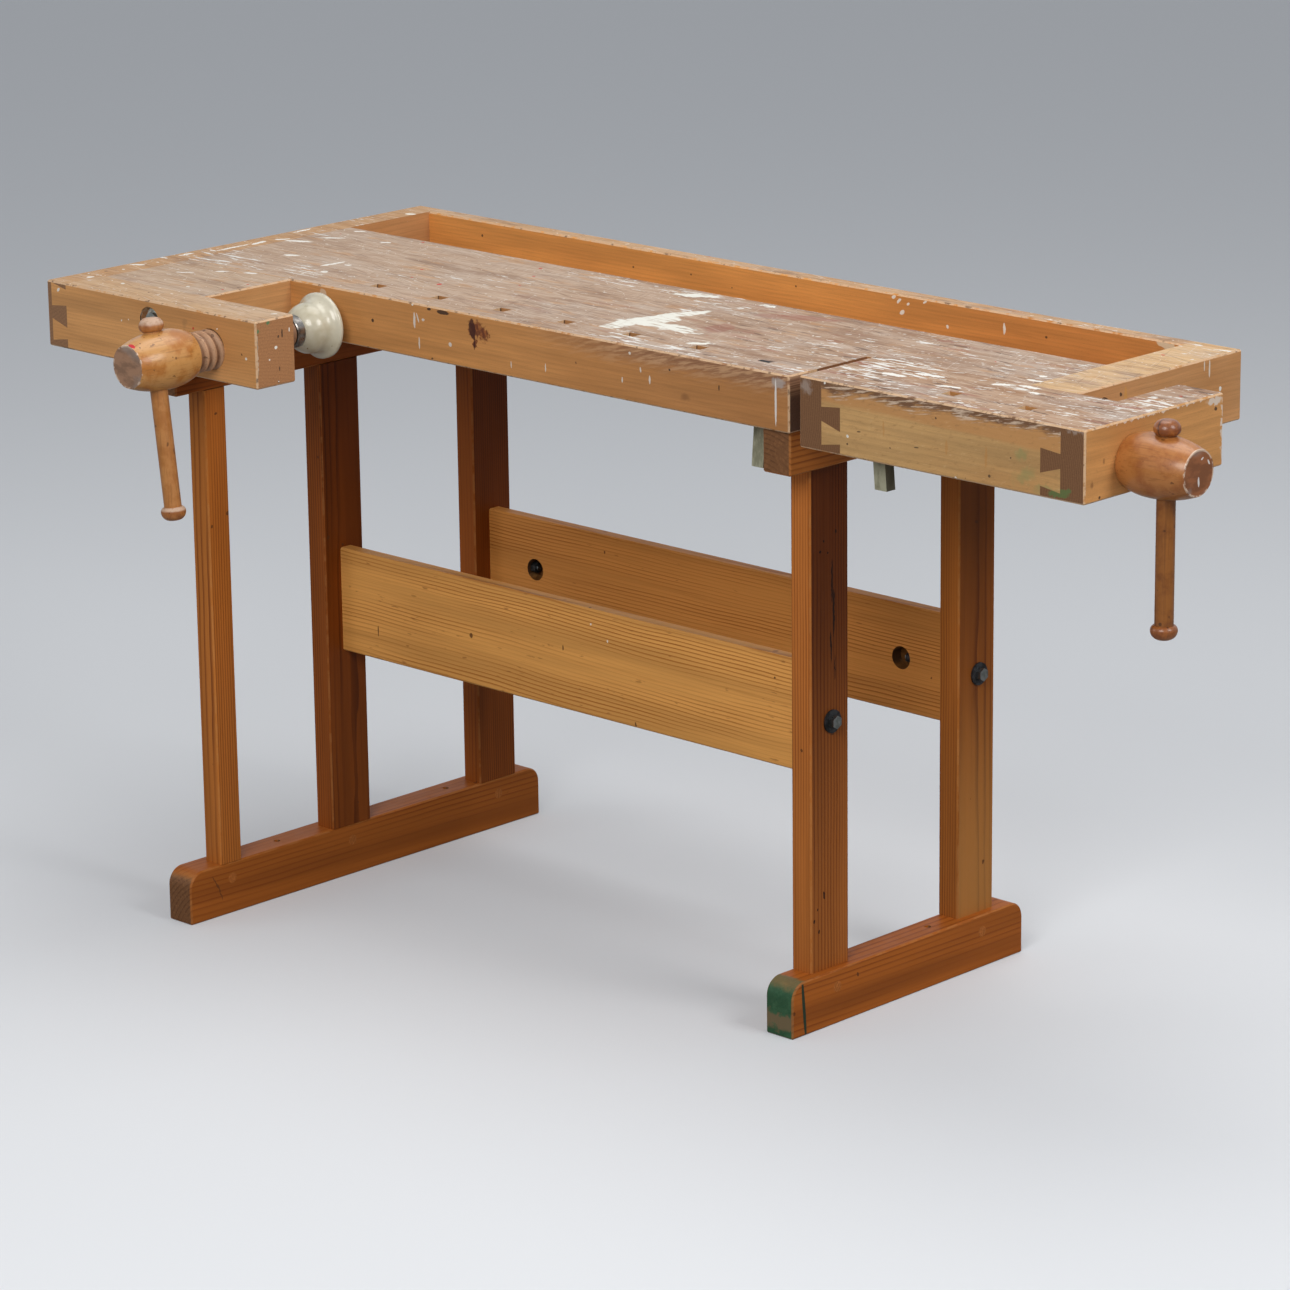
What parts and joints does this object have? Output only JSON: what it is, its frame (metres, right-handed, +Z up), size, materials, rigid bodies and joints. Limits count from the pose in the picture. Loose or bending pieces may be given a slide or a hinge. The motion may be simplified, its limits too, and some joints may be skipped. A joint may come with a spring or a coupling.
{
  "type": "woodworking bench",
  "caption": "Old joiner's workbench in wood with a shoulder vise at the left front corner, a tail vise at the right end, dog holes, a rear tool tray and two trestles with bolted stretchers.",
  "frame": {"origin": "on the floor, below the middle of the whole bench with its vises", "axes": "+X along the bench towards the tail vise, +Y from the front board to the tool tray, +Z up"},
  "size_m": [1.6414, 0.803, 0.8391],
  "materials": {
    "beech": "worn oiled beech, stained, with spots of paint",
    "orange_wood": "satin lacquer, warm orange, straight grain",
    "varnished_wood": "glossy orange-brown varnish",
    "raw_thread_wood": "unvarnished turned wood",
    "dark_end_grain": "worn dark end grain",
    "cream_paint": "glossy cream paint, chipped",
    "chrome_collar": "worn plating",
    "dull_steel": "dull steel with a little rust"
  },
  "bodies": {
    "bench": {"slab": "beech", "apron": "beech", "left_end_cap": "beech", "right_end_cap": "beech", "back_rail": "orange_wood", "tray_floor": "orange_wood", "dog_strip_blocks": "beech", "arm": "beech", "arm_spacer": "beech", "arm_bolt": "dull_steel", "arm_bolt_washer": "dull_steel", "end_cap_bolts": "dull_steel", "end_cap_washers": "dull_steel", "tail_nut": "beech", "tail_guide": "beech", "left_foot": "orange_wood", "right_foot": "orange_wood", "left_bearer": "orange_wood", "right_bearer": "orange_wood", "arm_leg": "orange_wood", "left_front_leg": "orange_wood", "left_back_leg": "orange_wood", "right_front_leg": "orange_wood", "right_back_leg": "orange_wood", "foot_pins": "orange_wood", "front_stretcher": "orange_wood", "back_stretcher": "orange_wood", "stretcher_bolts": "dull_steel", "stretcher_washers": "dull_steel", "stretcher_nuts": "dull_steel"},
    "tail_vise": {"tail_front_board": "beech", "tail_jaw_block": "dark_end_grain", "tail_end_block": "dark_end_grain", "tail_liner": "beech", "tail_cover": "beech", "tail_sole": "beech", "tail_strip_blocks": "beech", "tail_key": "beech"},
    "tail_spindle": {"tail_screw": "raw_thread_wood", "tail_hub": "varnished_wood"},
    "tail_handle": {"tail_handle_bar": "varnished_wood", "tail_handle_knobs": "varnished_wood"},
    "front_jaw": {"front_pad": "cream_paint", "front_collar": "chrome_collar"},
    "front_spindle": {"front_screw": "raw_thread_wood", "front_hub": "varnished_wood"},
    "front_handle": {"front_handle_bar": "varnished_wood", "front_handle_knobs": "varnished_wood"},
    "dog_in_bench": {"bench_dog": "dull_steel"},
    "dog_in_tail_vise": {"tail_dog": "dull_steel"}
  },
  "joints": [
    {"name": "tail_vise_slide", "type": "slide", "parent": "bench", "child": "tail_vise", "axis": [1, 0, 0], "range_m": [-0.0155, 0.15]},
    {"name": "tail_screw_turn", "type": "hinge", "parent": "tail_vise", "child": "tail_spindle", "pos_m": [0.7267, 0.0265, 0.784], "axis": [1, 0, 0], "range_deg": [-440, 4253]},
    {"name": "tail_handle_slide", "type": "slide", "parent": "tail_spindle", "child": "tail_handle", "axis": [0, 0, 1], "range_m": [0, 0.14]},
    {"name": "front_jaw_slide", "type": "slide", "parent": "bench", "child": "front_jaw", "axis": [0, 1, 0], "range_m": [-0.062, 0.0195]},
    {"name": "front_screw_turn", "type": "hinge", "parent": "front_jaw", "child": "front_spindle", "pos_m": [-0.5037, -0.3075, 0.784], "axis": [0, 1, 0], "range_deg": [-1758, 553]},
    {"name": "front_handle_slide", "type": "slide", "parent": "front_spindle", "child": "front_handle", "axis": [-0.1219, 0, 0.9925], "range_m": [0, 0.14]},
    {"name": "bench_dog_slide", "type": "slide", "parent": "bench", "child": "dog_in_bench", "axis": [0.0797, 0, 0.9968], "range_m": [0, 0.06]},
    {"name": "tail_dog_slide", "type": "slide", "parent": "tail_vise", "child": "dog_in_tail_vise", "axis": [-0.0797, 0, 0.9968], "range_m": [0, 0.06]}
  ],
  "couplings": [
    {"joint": "tail_screw_turn", "follows": "tail_vise_slide", "rad_per_m": 494.74},
    {"joint": "front_screw_turn", "follows": "front_jaw_slide", "rad_per_m": 494.74}
  ]
}
